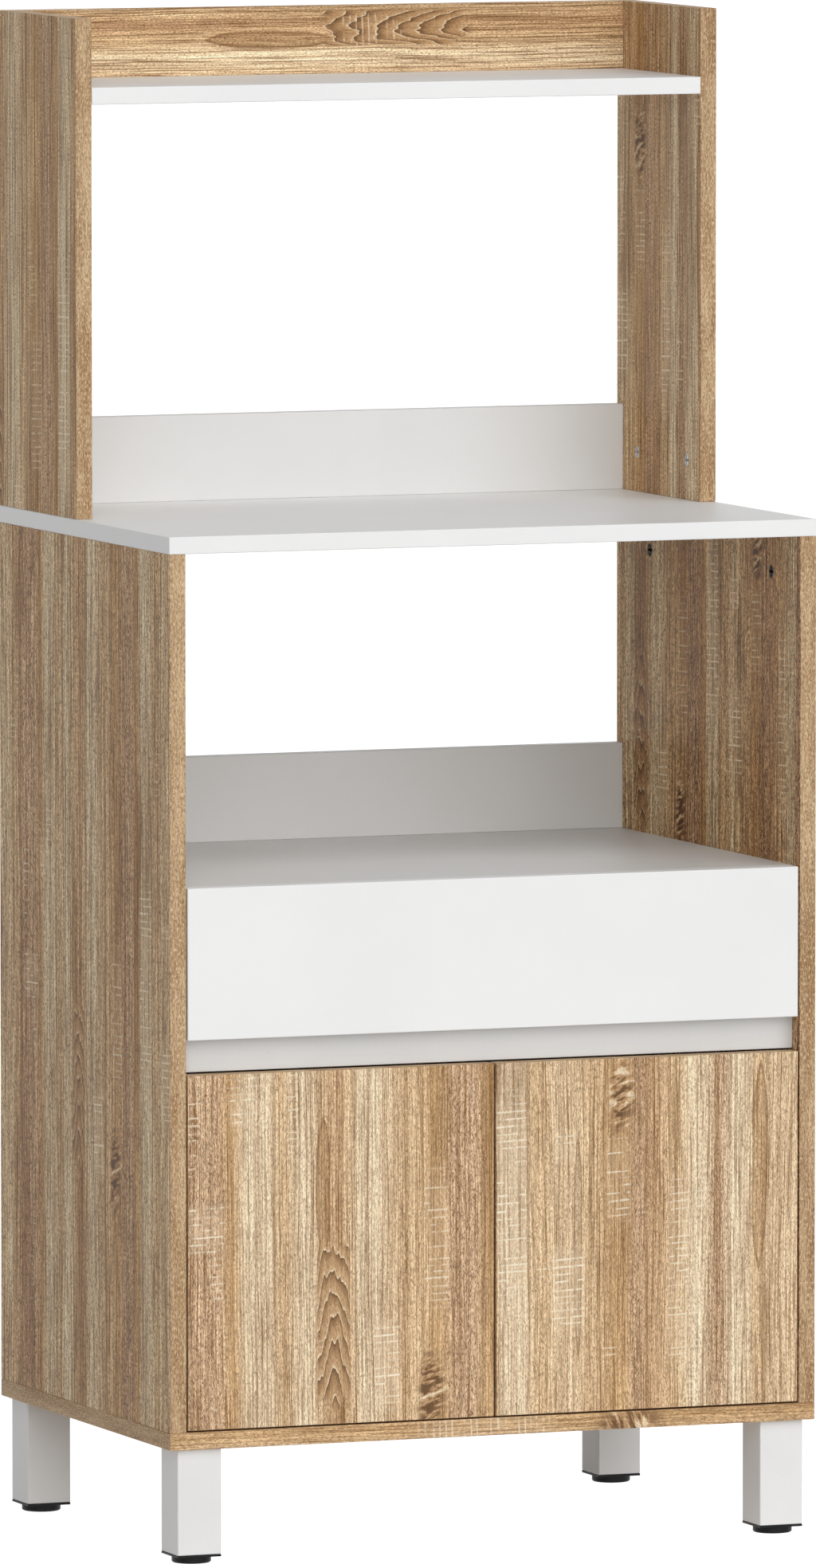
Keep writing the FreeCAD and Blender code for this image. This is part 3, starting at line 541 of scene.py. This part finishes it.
# a higher Shade makes the whole print darker and richer: painted shade for boards that stand in shade
shaded = oakTree.nodes.new("ShaderNodeGamma")
feed(oakTree, shaded.inputs["Color"], colour)
feed(oakTree, shaded.inputs["Gamma"], plus(oakTree, 1.0, oakIn["Shade"]))
feed(oakTree, oakOut["Color"], shaded.outputs[0])
feed(oakTree, oakOut["Roughness"], scaled(oakTree, grain["Height"], *oak["roughness"]))
feed(oakTree, oakOut["Height"], minus(oakTree, grain["Height"], scaled(oakTree, marks, saw["height"])))

# Fine mottle: two tones that a pressed, sprayed or cast skin varies between, and its faint relief

mottle = {
    "broadDetail": 3.0,
    "fineDetail": 2.0,
    "broadShare": 0.55,
    "fineShare": 0.45,
    "edge": (0.30, 0.70),
}
mottleTree, mottleIn, mottleOut = newGroup(
    "fineMottle",
    [("Vector", "Vector", None), ("Broad", "Float", 8.0), ("Fine", "Float", 900.0),
     ("Dark", "Color", (0.5, 0.5, 0.5, 1)), ("Light", "Color", (0.6, 0.6, 0.6, 1))],
    [("Color", "Color"), ("Mask", "Float"), ("Height", "Float")],
)


def solidNoise(scale, detail):
    node = mottleTree.nodes.new("ShaderNodeTexNoise")
    for label, value in (("Vector", mottleIn["Vector"]), ("Scale", scale), ("Detail", detail)):
        feed(mottleTree, node.inputs[label], value)
    return node.outputs[0]


broad = solidNoise(mottleIn["Broad"], mottle["broadDetail"])
fine = solidNoise(mottleIn["Fine"], mottle["fineDetail"])
mixed = scaled(mottleTree, fine, mottle["fineShare"], scaled(mottleTree, broad, mottle["broadShare"]))
mixed = fade(mottleTree, mixed, *mottle["edge"])
feed(mottleTree, mottleOut["Color"], blend(mottleTree, mixed, mottleIn["Dark"], mottleIn["Light"]))
feed(mottleTree, mottleOut["Mask"], mixed)
feed(mottleTree, mottleOut["Height"], fine)

# Finishes


def newFinish(name, turn=(0, 0, 0), stretch=(1, 1, 1)):
    # a material with its shader, and the object's coordinates turned and stretched for it
    finish = bpy.data.materials.new(name)
    finish.use_nodes = True
    tree = finish.node_tree
    mapping = tree.nodes.new("ShaderNodeMapping")
    mapping.inputs["Rotation"].default_value = [radians(angle) for angle in turn]
    mapping.inputs["Scale"].default_value = stretch
    feed(tree, mapping.inputs["Vector"], tree.nodes.new("ShaderNodeTexCoord").outputs["Object"])
    return finish, tree, tree.nodes["Principled BSDF"].inputs, mapping.outputs[0]


def relief(tree, shader, height, depth, strength):
    bump = tree.nodes.new("ShaderNodeBump")
    for label, value in (("Distance", depth), ("Strength", strength), ("Height", height)):
        feed(tree, bump.inputs[label], value)
    feed(tree, shader["Normal"], bump.outputs[0])


grainTurns = {
    "frontUp": (0, 0, 0),       # board seen from the front, grain upright
    "sideUp": (0, 0, 90),       # board seen from the side, grain upright
    "frontLevel": (0, 90, 0),   # grain along the width
    "sideLevel": (90, 0, -90),  # grain along the depth
}


def oakFinish(name, turn, startAcross, startAlong, seedValue, shade, fibreStrength):
    finish, tree, shader, place = newFinish(name, grainTurns[turn])
    decor = useGroup(
        tree, oakTree, Vector=place, Across=startAcross, Along=startAlong, Seed=seedValue, Shade=shade,
        Fibre=fibreStrength)
    feed(tree, shader["Base Color"], decor["Color"])
    feed(tree, shader["Roughness"], decor["Roughness"])
    feed(tree, shader["Specular IOR Level"], oak["specular"])
    relief(tree, shader, decor["Height"], oak["depth"], oak["strength"])
    return finish


# edge bands: plainer oak with a coarser grain
band = {
    "base": toned([(0.0, "A27D57"), (1.0, "CBAC87")]),
    "dark": "6E4F32",
    "pale": "F2DDB4",
    "depthShare": 0.8,
    "cloud": (60.0, 9.0),       # turns in a metre across and along
    "cloudEdge": (0.25, 0.75),
    "coarse": (0.6, 0.7),       # fibres across and along, next to those of the print
    "seed": 9.0,
    "flecks": 0.70,
    "roughness": (0.15, 0.42),
    "depth": 0.0002,
    "strength": 0.2,
}


def bandFinish(name, turn):
    finish, tree, shader, place = newFinish(name, grainTurns[turn])
    point = tree.nodes.new("ShaderNodeSeparateXYZ")
    feed(tree, point.inputs[0], place)
    wide = plus(tree, point.outputs[0], scaled(tree, point.outputs[1], band["depthShare"]))
    long = point.outputs[2]
    cloudWide, cloudLong = band["cloud"]
    coarseWide, coarseLong = band["coarse"]
    cloud = noise(tree, scaled(tree, wide, cloudWide), 0.0, scaled(tree, long, cloudLong))
    flecks = useGroup(
        tree, fibreTree, Across=scaled(tree, wide, coarseWide), Along=scaled(tree, long, coarseLong),
        Seed=band["seed"])
    paint = ramp(tree, fade(tree, cloud, *band["cloudEdge"]), band["base"])["Color"]
    paint = blend(tree, scaled(tree, flecks["Dark"], band["flecks"]), paint, tone(band["dark"]))
    paint = blend(tree, scaled(tree, flecks["Pale"], band["flecks"]), paint, tone(band["pale"]))
    feed(tree, shader["Base Color"], paint)
    feed(tree, shader["Roughness"], scaled(tree, flecks["Height"], *band["roughness"]))
    feed(tree, shader["Specular IOR Level"], oak["specular"])
    relief(tree, shader, flecks["Height"], band["depth"], band["strength"])
    return finish


def mottledFinish(name, look):
    finish, tree, shader, place = newFinish(name, stretch=look.get("stretch", (1, 1, 1)))
    skin = useGroup(
        tree, mottleTree, Vector=place, Broad=look["broad"], Fine=look["fine"],
        Dark=tone(look["dark"]), Light=tone(look["light"]))
    low, high = look["roughness"]
    feed(tree, shader["Base Color"], skin["Color"])
    feed(tree, shader["Roughness"], scaled(tree, skin["Mask"], high - low, low))
    feed(tree, shader["Metallic"], look.get("metallic", 0.0))
    feed(tree, shader["Specular IOR Level"], look.get("specular", 0.5))
    relief(tree, shader, skin["Height"], look["depth"], look["strength"])
    return finish


skins = {
    "white_board": dict(dark="EEEEEE", light="F3F3F2", broad=7.0, fine=1400.0, roughness=(0.38, 0.46),
                        specular=0.35, depth=0.0001, strength=0.10),
    "hardboard": dict(dark="E4E3DF", light="EAE9E6", broad=5.0, fine=700.0, roughness=(0.50, 0.62),
                      specular=0.3, depth=0.0002, strength=0.20),
    "white_steel": dict(dark="E2E2E2", light="EAEAE9", broad=10.0, fine=2200.0, roughness=(0.32, 0.42),
                        specular=0.4, depth=0.0001, strength=0.12),
    "black_plastic": dict(dark="0A0A0B", light="121213", broad=40.0, fine=1800.0, roughness=(0.36, 0.52),
                          specular=0.18, depth=0.0001, strength=0.18),
    "bright_zinc": dict(dark="CDCECF", light="EDEDED", broad=120.0, fine=1600.0, roughness=(0.36, 0.50),
                        metallic=0.6, depth=0.0001, strength=0.15),
    "dark_zinc": dict(dark="1B1A19", light="322F2C", broad=120.0, fine=1600.0, roughness=(0.38, 0.55),
                      metallic=0.55, depth=0.0001, strength=0.15),
    "nickel_steel": dict(dark="A9A8A4", light="CFCECA", broad=30.0, fine=900.0, roughness=(0.22, 0.34),
                         metallic=1.0, stretch=(1, 1, 0.1), depth=0.0001, strength=0.10),
    "slide_enamel": dict(dark="DDDDDA", light="EAEAE8", broad=14.0, fine=1600.0, roughness=(0.30, 0.42),
                         depth=0.0001, strength=0.15),
    "roller_nylon": dict(dark="D9D8D2", light="E9E8E3", broad=60.0, fine=1500.0, roughness=(0.40, 0.50),
                         depth=0.0001, strength=0.12),
    "beech": dict(dark="B98F63", light="DDB98C", broad=60.0, fine=1400.0, roughness=(0.50, 0.65),
                  depth=0.0002, strength=0.2),
}
finishes = {slot: mottledFinish(f"{slot}Skin", look) for slot, look in skins.items()}

# painted shade: these recessed white boards get a darker copy of the white board finish for the shade they stand
# in, a little duller in the photo
paintedShadeBoards = ("niche_shelf", "niche_back_rail", "upper_back_rail", "recess_rail")
paintedShadeWhite = mottledFinish("paintedShadeBoardSkin", dict(skins["white_board"], dark="DBDBDA", light="E1E1E0"))

# one stretch of the print for each oak board: which way its grain runs, where it starts across and along, a seed,
# how much painted shade darkens it, and how strong its fibres are
oakCuts = {
    "lower_side_left": ("sideUp", 0.192, -0.445, 1.3, 0.14, 1.3),
    # the right side's inner face stands in the niche, so it takes the most painted shade
    "lower_side_right": ("sideUp", -0.020, -0.720, 2.1, 0.38, 1.3),
    "upper_side_left": ("sideUp", 0.390, -0.960, 3.4, 0.16, 1.3),
    "upper_side_right": ("sideUp", 0.245, -1.060, 4.2, 0.15, 1.3),
    "door_left": ("frontUp", 0.274, -0.255, 1.3, 0.0, 1.0),
    "door_right": ("frontUp", 0.274, -0.255, 1.3, 0.0, 1.0),
    "top_back_rail": ("frontLevel", -1.419, 0.015, 6.6, 0.18, 1.0),
    "bottom_panel": ("frontLevel", 0.108, 0.010, 7.5, 0.0, 1.0),
}
oakFaces = {board: oakFinish(f"{board}Oak", *cut) for board, cut in oakCuts.items()}
bandUp = bandFinish("oakBandUp", "frontUp")
bandLevel = bandFinish("oakBandLevel", "frontLevel")
bandDeep = bandFinish("oakBandDeep", "sideLevel")
print("finishes ready:", len(bpy.data.materials))

# Boards and fittings: eased copies of the CAD solids

easing = {
    "weld": 2e-6,               # corners closer than this are one
    "flat": 0.5,                # degrees under which faces are joined
    "sharp": 35.0,              # degrees over which an edge is eased
    "onBox": 2e-5,              # how close to the node's box a corner lies on it
    "steps": 2,
    "board": 0.0007,
    "fitting": 0.0003,
}


def weldedCopy(node):
    build = bmesh.new()
    build.from_mesh(cad[node].data)
    bmesh.ops.remove_doubles(build, verts=build.verts, dist=easing["weld"])
    return build


def standIn(node, ending, mesh):
    # the piece that is shown for a CAD node
    piece = bpy.data.objects.new(f"{node}_{ending}", mesh)
    scene.collection.objects.link(piece)
    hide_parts(node)
    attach(piece, bodyOf[node])
    return piece


def easedCopy(node, ease, allEdges=False):
    # eases the outer rims of a board, or every sharp edge of a fitting
    build = weldedCopy(node)
    bmesh.ops.dissolve_limit(
        build, angle_limit=radians(easing["flat"]), verts=build.verts, edges=build.edges)
    low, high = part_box(node)

    def onRim(corner):
        reaches = [min(abs(corner.co[i] - low[i]), abs(corner.co[i] - high[i])) for i in range(3)]
        return sum(reach < easing["onBox"] for reach in reaches) >= 2

    def isSharp(edge):
        return len(edge.link_faces) == 2 and edge.calc_face_angle(0.0) > radians(easing["sharp"])

    rims = [edge for edge in build.edges
            if isSharp(edge) and (allEdges or all(onRim(corner) for corner in edge.verts))]
    eased = bmesh.ops.bevel(
        build, geom=rims, offset=ease, segments=easing["steps"], profile=0.5, affect="EDGES", clamp_overlap=True)
    rounded = set(eased["faces"])
    for face in build.faces:
        face.smooth = True
    for edge in build.edges:
        curved = sum(face in rounded for face in edge.link_faces)
        edge.smooth = curved == 2 or (curved == 0 and not isSharp(edge))
    mesh = bpy.data.meshes.new(f"{node}_eased")
    build.to_mesh(mesh)
    build.free()
    return standIn(node, "eased", mesh)


def faces(normal, axis):
    return abs(normal[axis]) > 0.9


def bandEdges(board, edging, isEdge):
    piece = easedCopy(board, easing["board"])
    for finish in (oakFaces[board], edging):
        piece.data.materials.append(finish)
    for polygon in piece.data.polygons:
        polygon.material_index = int(isEdge(polygon.normal))


for board in ("lower_side_left", "lower_side_right", "upper_side_left", "upper_side_right"):
    bandEdges(board, bandUp, lambda normal: not faces(normal, 0))
for board in ("door_left", "door_right"):
    bandEdges(board, bandUp, lambda normal: not faces(normal, 1))
bandEdges("top_back_rail", bandLevel, lambda normal: not faces(normal, 1))
bandEdges("bottom_panel", bandDeep, lambda normal: faces(normal, 0))       # the print goes on over its front edge

plainEase = [
    (easing["board"], ("worktop", "niche_shelf", "top_shelf", "niche_back_rail", "upper_back_rail", "recess_rail",
                       "drawer_front")),
    (0.0005, ("drawer_back", "drawer_side_left", "drawer_side_right")),
    (0.0003, ("drawer_bottom", "back_panel")),
    (0.0009, ("leg_front_left", "leg_front_right", "leg_rear_left", "leg_rear_right")),
    (0.0003, ("slide_channel_left", "slide_channel_right", "slide_angle_left", "slide_angle_right")),
]
for ease, members in plainEase:
    for node in members:
        # the recessed white boards take the darker copy: painted shade
        finish = paintedShadeWhite if node in paintedShadeBoards else finishes[slotOf[node]]
        easedCopy(node, ease).data.materials.append(finish)
for node in cad:
    if node.startswith(("foot_", "roller_", "hinge_cups", "hinge_arms", "hinge_plates", "leg_caps")):
        easedCopy(node, easing["fitting"], allEdges=True).data.materials.append(finishes[slotOf[node]])
print("boards and fittings eased")

# Cam heads and screws: one head drawn in Geometry Nodes and seated on every CAD fastener

fastener = {
    "sides": 32,
    "rings": 24,
    "shaftSides": 20,
    "taper": 0.75,              # a shaft's tip next to its start
    "sunk": 0.8,                # how much of the head's height the shaft starts under its top
    "flatFacing": 0.9999,
    "crossShare": 0.12,         # a level with less of an end's flat area isn't counted
    "sharp": 30.0,
}
camSize = {
    "Radius": 0.0059, "Height": 0.0117, "Dome": 0.030,
    "Cross Long": 0.0088, "Cross Wide": 0.0024, "Cross Deep": 0.0050,
}
screwSize = {
    "Radius": 0.0036, "Height": 0.0016, "Dome": 0.0049,
    "Cross Long": 0.0040, "Cross Wide": 0.0009, "Cross Deep": 0.0011, "Shaft Radius": 0.0019,
}


def newShape(name, inputs):
    tree = bpy.data.node_groups.new(name, "GeometryNodeTree")
    sockets = {
        label: tree.interface.new_socket(name=label, in_out="INPUT", socket_type=f"NodeSocket{kind}")
        for label, kind in inputs
    }
    tree.interface.new_socket(name="Geometry", in_out="OUTPUT", socket_type="NodeSocketGeometry")
    return tree, sockets, tree.nodes.new("NodeGroupInput").outputs, tree.nodes.new("NodeGroupOutput").inputs


def shapeNode(tree, kind, settings=None, **values):
    node = tree.nodes.new(kind)
    for label, value in (settings or {}).items():
        setattr(node, label, value)
    for label, value in values.items():
        feed(tree, node.inputs[label.replace("_", " ")], value)
    return node.outputs[0]


def moved(tree, geometry, height, turn=(0, 0, 0)):
    lift = shapeNode(tree, "ShaderNodeCombineXYZ", Z=height)
    return shapeNode(tree, "GeometryNodeTransform", Geometry=geometry, Translation=lift, Rotation=turn)


def booled(tree, operation, first, *others):
    node = tree.nodes.new("GeometryNodeMeshBoolean")
    node.operation = operation
    node.solver = "EXACT"
    if operation == "DIFFERENCE":
        tree.links.new(first, node.inputs["Mesh 1"])
    else:
        others = (first, *others)
    for other in others:
        tree.links.new(other, node.inputs["Mesh 2"])
    return node.outputs[0]


headLabels = ("Radius", "Height", "Dome", "Cross Long", "Cross Wide", "Cross Deep")
headSizes = [(label, "Float") for label in headLabels]
headTree, _, headIn, headOut = newShape("crossedHead", headSizes)      # top at the origin, facing +Z
barrel = shapeNode(
    headTree, "GeometryNodeMeshCylinder", Vertices=fastener["sides"], Radius=headIn["Radius"],
    Depth=headIn["Height"])
barrel = moved(headTree, barrel, scaled(headTree, headIn["Height"], -0.5))
ball = shapeNode(
    headTree, "GeometryNodeMeshUVSphere", Segments=fastener["sides"], Rings=fastener["rings"],
    Radius=headIn["Dome"])
ball = moved(headTree, ball, scaled(headTree, headIn["Dome"], -1.0))
deep = scaled(headTree, headIn["Cross Deep"], 2.0)
bars = []
for first, second in (("Cross Long", "Cross Wide"), ("Cross Wide", "Cross Long")):
    extent = shapeNode(headTree, "ShaderNodeCombineXYZ", X=headIn[first], Y=headIn[second], Z=deep)
    bars.append(shapeNode(headTree, "GeometryNodeMeshCube", Size=extent))
domed = booled(headTree, "INTERSECT", barrel, ball)
feed(headTree, headOut[0], booled(headTree, "DIFFERENCE", domed, *bars))


def crossedHead(tree, start):
    node = tree.nodes.new("GeometryNodeGroup")
    node.node_tree = headTree
    for label in headLabels:
        feed(tree, node.inputs[label], start[label])
    return node.outputs[0]


def seated(tree, start, end, shape):
    aim = shapeNode(tree, "GeometryNodeInputNamedAttribute", {"data_type": "FLOAT_VECTOR"}, Name="aim")
    turn = shapeNode(tree, "FunctionNodeAlignRotationToVector", {"axis": "Z"}, Vector=aim)
    copies = shapeNode(
        tree, "GeometryNodeInstanceOnPoints", Points=start["Seats"], Instance=shape, Rotation=turn)
    real = shapeNode(tree, "GeometryNodeRealizeInstances", Geometry=copies)
    feed(tree, end[0], shapeNode(tree, "GeometryNodeSetMaterial", Geometry=real, Material=start["Finish"]))


seatSockets = [("Seats", "Geometry"), ("Finish", "Material"), *headSizes]
camTree, camSockets, camIn, camOut = newShape("camHeads", seatSockets)
seated(camTree, camIn, camOut, crossedHead(camTree, camIn))

screwTree, screwSockets, screwIn, screwOut = newShape(
    "panScrews", [*seatSockets, ("Shaft Radius", "Float"), ("Shaft Long", "Float")])
tip = scaled(screwTree, screwIn["Shaft Radius"], fastener["taper"])
shaft = shapeNode(
    screwTree, "GeometryNodeMeshCone", Vertices=fastener["shaftSides"], Radius_Top=tip,
    Radius_Bottom=screwIn["Shaft Radius"], Depth=screwIn["Shaft Long"])
sunk = scaled(screwTree, screwIn["Height"], -fastener["sunk"])
shaft = moved(screwTree, shaft, sunk, (radians(180), 0, 0))
seated(screwTree, screwIn, screwOut, booled(screwTree, "UNION", crossedHead(screwTree, screwIn), shaft))


def islands(build):
    # the faces of each separate body, always in the same order
    done = set()
    for start in build.faces:
        if start in done:
            continue
        island, waiting = {start: None}, [start]
        while waiting:
            neighbours = [other for edge in waiting.pop().edges for other in edge.link_faces]
            for face in neighbours:
                if face not in island:
                    island[face] = None
                    waiting.append(face)
        done.update(island)
        yield list(island)


def headSpots(node):
    # top middle of each fastener in a CAD node, the way it faces, and its length
    build = weldedCopy(node)
    spots = []
    for island in islands(build):
        corners = [corner.co for face in island for corner in face.verts]
        low = [min(corner[i] for corner in corners) for i in range(3)]
        high = [max(corner[i] for corner in corners) for i in range(3)]
        levels = {}
        for face in island:
            for axis in range(3):
                if abs(face.normal[axis]) > fastener["flatFacing"]:
                    sign = 1 if face.normal[axis] > 0 else -1
                    height = round(sign * face.calc_center_median()[axis], 4)
                    flats = levels.setdefault((axis, sign), {})
                    flats[height] = flats.get(height, 0.0) + face.calc_area()
        totals = {way: sum(flats.values()) for way, flats in levels.items()}
        axis = max(range(3), key=lambda i: totals.get((i, 1), 0) + totals.get((i, -1), 0))
        # the crossed end is flat at two levels
        sign = max((1, -1), key=lambda s: sum(
            area > fastener["crossShare"] * totals[axis, s] for area in levels[axis, s].values()))
        top = [(a + b) / 2 for a, b in zip(low, high)]
        top[axis] = high[axis] if sign > 0 else low[axis]
        aim = [0.0, 0.0, 0.0]
        aim[axis] = float(sign)
        spots.append((top, aim, high[axis] - low[axis]))
    build.free()
    return spots


def seatFasteners(node, tree, sockets, size):
    spots = headSpots(node)
    seats = bpy.data.meshes.new(f"{node}_seats")
    seats.from_pydata([top for top, _, _ in spots], [], [])
    aims = seats.attributes.new("aim", "FLOAT_VECTOR", "POINT")
    for entry, (_, aim, _) in zip(aims.data, spots):
        entry.vector = aim
    holder = bpy.data.objects.new(f"{node}_seats", seats)
    scene.collection.objects.link(holder)
    maker = holder.modifiers.new("seats", "NODES")
    maker.node_group = tree
    values = dict(size, Finish=finishes[slotOf[node]])
    if "Shaft Long" in sockets:
        values["Shaft Long"] = spots[0][2] - fastener["sunk"] * size["Height"]
    for label, value in values.items():
        maker[sockets[label].identifier] = value
    whole = holder.evaluated_get(bpy.context.evaluated_depsgraph_get())
    mesh = bpy.data.meshes.new_from_object(whole)
    bpy.data.objects.remove(holder)
    mesh.shade_smooth()
    mesh.set_sharp_from_angle(angle=radians(fastener["sharp"]))
    standIn(node, "turned", mesh)
    return len(spots)


camNodes = ("cams_bright", "cams_dark", "drawer_cams")
screwNodes = [node for node in cad if "_screws" in node]
camCount = sum(seatFasteners(node, camTree, camSockets, camSize) for node in camNodes)
screwCount = sum(seatFasteners(node, screwTree, screwSockets, screwSize) for node in screwNodes)
print("fasteners seated:", camCount, "cams,", screwCount, "screws")

# What stays as the CAD gave it takes its finish
for node, holder in cad.items():
    if not holder.hide_render:
        holder.data.materials.clear()
        holder.data.materials.append(finishes[slotOf[node]])
